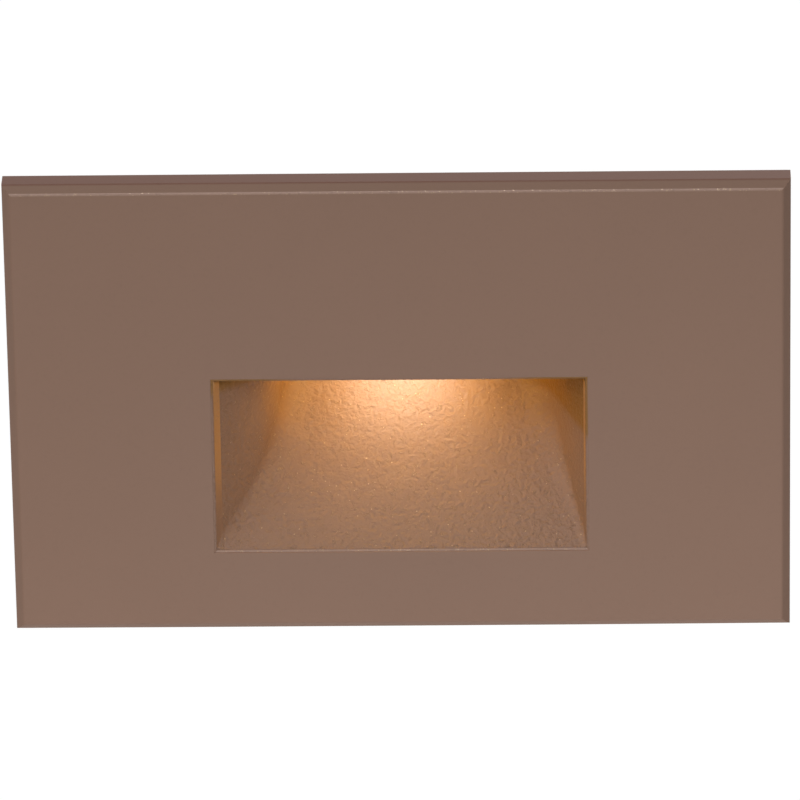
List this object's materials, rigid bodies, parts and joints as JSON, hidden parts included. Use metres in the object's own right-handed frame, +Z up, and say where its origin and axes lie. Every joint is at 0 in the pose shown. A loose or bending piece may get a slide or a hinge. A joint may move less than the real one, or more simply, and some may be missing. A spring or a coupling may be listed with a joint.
{
  "type": "step light",
  "caption": "Horizontal recessed step light: bevelled rectangular face plate with a warm-lit scoop, its sealed housing behind, and a steel bracket for a wall box.",
  "frame": {"origin": "the wall plane, at the middle of the face plate and midway between the two wall box screws", "axes": "+X to the right seen from the room, +Z up, -Y out of the wall towards the room, +Y into the wall box"},
  "size_m": [0.127, 0.0439, 0.0794],
  "materials": {
    "bronze_coat": "fine textured matt bronze powder coat",
    "black_foam": "closed-cell foam, matt",
    "grey_silicone": "moulded silicone, matt",
    "white_silicone": "moulded silicone, matt",
    "black_silicone": "moulded silicone, satin",
    "zinc_steel": "zinc plated",
    "green_steel": "green dyed zinc plate",
    "dark_steel": "black oxide",
    "galvanised_steel": "galvanised sheet, faint spangle",
    "cast_aluminium": "die-cast, lightly blasted",
    "bare_aluminium": "extruded, bare",
    "lit_lens": "frosted, lit warm white",
    "white_plastic": "moulded, matt",
    "pad_grey": "thermal pad, matt",
    "led_board_white": "white solder mask on aluminium core",
    "led_phosphor": "yellow phosphor under clear resin",
    "circuit_green": "green solder mask",
    "capacitor_sleeve": "dark shrink sleeve",
    "coil_copper": "enamelled copper winding on ferrite",
    "chip_black": "moulded epoxy",
    "varistor_blue": "blue epoxy dip",
    "lead_red": "insulated lead",
    "lead_black": "insulated lead"
  },
  "bodies": {
    "bracket": {"mounting_bracket": "galvanised_steel", "box_screws": "zinc_steel"},
    "light": {"face_plate": "bronze_coat", "scoop": "bronze_coat", "wall_gasket": "black_foam", "mouth_seal": "grey_silicone", "scoop_screws": "zinc_steel", "lens_gasket": "white_silicone", "lens": "lit_lens", "lens_frame": "white_plastic", "heat_spreader": "bare_aluminium", "thermal_pad": "pad_grey", "led_board": "led_board_white", "led_emitters": "led_phosphor", "led_board_screws": "zinc_steel", "spreader_screws": "zinc_steel", "cover_gasket": "black_silicone", "rear_cover": "cast_aluminium", "cover_screws": "zinc_steel", "ground_screw": "green_steel", "wire_grommet": "black_silicone", "driver_board": "circuit_green", "driver_screws": "zinc_steel", "driver_capacitor": "capacitor_sleeve", "driver_coil": "coil_copper", "driver_rectifier": "chip_black", "driver_varistor": "varistor_blue", "driver_chips": "chip_black", "led_lead_red": "lead_red", "led_lead_black": "lead_black"},
    "set_screw_left": {"set_screw_left": "dark_steel"},
    "set_screw_right": {"set_screw_right": "dark_steel"}
  },
  "joints": [
    {"name": "light_lift", "type": "slide", "parent": "bracket", "child": "light", "axis": [0, -1, 0], "range_m": [0, 0.045]},
    {"name": "set_screw_left_out", "type": "slide", "parent": "light", "child": "set_screw_left", "axis": [0, 0, -1], "range_m": [0, 0.004]},
    {"name": "set_screw_right_out", "type": "slide", "parent": "light", "child": "set_screw_right", "axis": [0, 0, -1], "range_m": [0, 0.004]}
  ]
}
